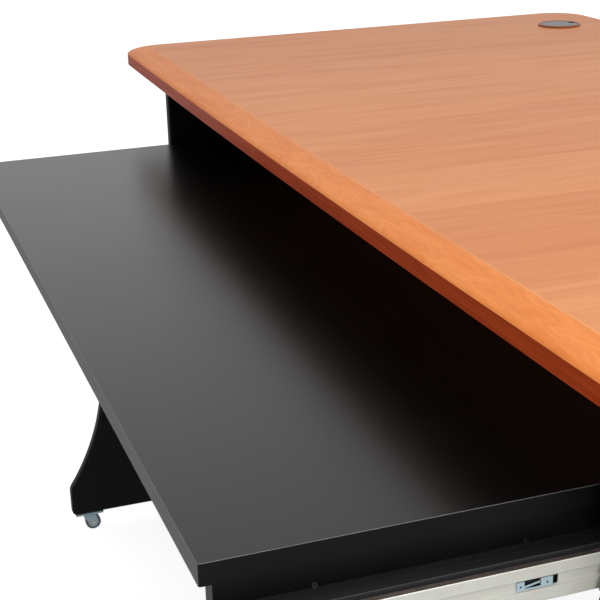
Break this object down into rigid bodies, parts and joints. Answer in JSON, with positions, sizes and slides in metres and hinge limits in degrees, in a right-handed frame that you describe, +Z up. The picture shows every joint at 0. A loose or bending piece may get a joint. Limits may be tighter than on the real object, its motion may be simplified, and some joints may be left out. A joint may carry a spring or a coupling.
{
  "type": "studio desk",
  "caption": "Wide studio desk on low casters, cherry top with rounded front corners, and a pull-out black keyboard shelf on ball slides.",
  "frame": {"origin": "on the floor under the middle of the desk's box, with the keyboard shelf drawn out as at rest", "axes": "+X along the desk towards its right end as the user sits, +Y towards the rear, +Z up"},
  "size_m": [1.6, 1.053, 0.731],
  "materials": {
    "cherry_laminate": "satin",
    "solid_cherry": "satin",
    "black_melamine": "satin",
    "black_timber": "matte",
    "zinc_steel": "satin",
    "blue_zinc": "satin",
    "bearing_steel": "polished",
    "grey_tyre": "matte",
    "brown_plastic": "satin",
    "grey_plastic": "satin"
  },
  "bodies": {
    "frame": {"desktop_board": "cherry_laminate", "desktop_front_lipping": "solid_cherry", "grommet_ring_left": "brown_plastic", "grommet_ring_right": "brown_plastic", "side_panel_left": "black_melamine", "side_panel_right": "black_melamine", "modesty_panel": "black_melamine", "desktop_cleat_rear": "black_timber", "desktop_cleat_left": "black_timber", "desktop_cleat_right": "black_timber", "slide_cabinet_member_left": "zinc_steel", "slide_cabinet_member_right": "zinc_steel", "caster_plate_front_left": "blue_zinc", "caster_plate_front_right": "blue_zinc", "caster_plate_rear_left": "blue_zinc", "caster_plate_rear_right": "blue_zinc"},
    "shelf": {"keyboard_shelf": "black_melamine", "shelf_cheek_left": "black_melamine", "shelf_cheek_right": "black_melamine", "slide_batten_left": "black_timber", "slide_batten_right": "black_timber", "slide_shelf_member_left": "zinc_steel", "slide_shelf_member_right": "zinc_steel", "slide_release_lever_left": "blue_zinc", "slide_release_lever_right": "blue_zinc"},
    "ball_cage_left": {"slide_ball_cage_left": "bearing_steel"},
    "ball_cage_right": {"slide_ball_cage_right": "bearing_steel"},
    "grommet_cap_left": {"grommet_cap_left": "grey_plastic"},
    "grommet_cap_right": {"grommet_cap_right": "grey_plastic"},
    "fork_front_left": {"caster_fork_front_left": "blue_zinc", "caster_axle_front_left": "zinc_steel"},
    "fork_front_right": {"caster_fork_front_right": "blue_zinc", "caster_axle_front_right": "zinc_steel"},
    "fork_rear_left": {"caster_fork_rear_left": "blue_zinc", "caster_axle_rear_left": "zinc_steel"},
    "fork_rear_right": {"caster_fork_rear_right": "blue_zinc", "caster_axle_rear_right": "zinc_steel"},
    "wheel_front_left": {"caster_wheel_front_left": "grey_tyre"},
    "wheel_front_right": {"caster_wheel_front_right": "grey_tyre"},
    "wheel_rear_left": {"caster_wheel_rear_left": "grey_tyre"},
    "wheel_rear_right": {"caster_wheel_rear_right": "grey_tyre"}
  },
  "joints": [
    {"name": "shelf_slide", "type": "slide", "parent": "frame", "child": "shelf", "axis": [0, -1, 0], "range_m": [-0.278, 0.021]},
    {"name": "ball_cage_left_slide", "type": "slide", "parent": "frame", "child": "ball_cage_left", "axis": [0, -1, 0], "range_m": [-0.139, 0.0105]},
    {"name": "ball_cage_right_slide", "type": "slide", "parent": "frame", "child": "ball_cage_right", "axis": [0, -1, 0], "range_m": [-0.139, 0.0105]},
    {"name": "grommet_cap_left_turn", "type": "hinge", "parent": "frame", "child": "grommet_cap_left", "pos_m": [-0.662, 0.432, 0.728], "axis": [0, 0, 1], "continuous": true},
    {"name": "grommet_cap_right_turn", "type": "hinge", "parent": "frame", "child": "grommet_cap_right", "pos_m": [0.662, 0.432, 0.728], "axis": [0, 0, 1], "continuous": true},
    {"name": "swivel_front_left", "type": "hinge", "parent": "frame", "child": "fork_front_left", "pos_m": [-0.62, -0.406, 0.0257], "axis": [0, 0, 1], "continuous": true},
    {"name": "swivel_front_right", "type": "hinge", "parent": "frame", "child": "fork_front_right", "pos_m": [0.62, -0.406, 0.0257], "axis": [0, 0, 1], "continuous": true},
    {"name": "swivel_rear_left", "type": "hinge", "parent": "frame", "child": "fork_rear_left", "pos_m": [-0.62, 0.4585, 0.0257], "axis": [0, 0, 1], "continuous": true},
    {"name": "swivel_rear_right", "type": "hinge", "parent": "frame", "child": "fork_rear_right", "pos_m": [0.62, 0.4585, 0.0257], "axis": [0, 0, 1], "continuous": true},
    {"name": "roll_front_left", "type": "hinge", "parent": "fork_front_left", "child": "wheel_front_left", "pos_m": [-0.62, -0.401, 0.012], "axis": [1, 0, 0], "continuous": true},
    {"name": "roll_front_right", "type": "hinge", "parent": "fork_front_right", "child": "wheel_front_right", "pos_m": [0.62, -0.401, 0.012], "axis": [1, 0, 0], "continuous": true},
    {"name": "roll_rear_left", "type": "hinge", "parent": "fork_rear_left", "child": "wheel_rear_left", "pos_m": [-0.62, 0.4635, 0.012], "axis": [1, 0, 0], "continuous": true},
    {"name": "roll_rear_right", "type": "hinge", "parent": "fork_rear_right", "child": "wheel_rear_right", "pos_m": [0.62, 0.4635, 0.012], "axis": [1, 0, 0], "continuous": true}
  ],
  "couplings": [
    {"joint": "ball_cage_left_slide", "follows": "shelf_slide", "ratio": 0.5},
    {"joint": "ball_cage_right_slide", "follows": "shelf_slide", "ratio": 0.5}
  ]
}
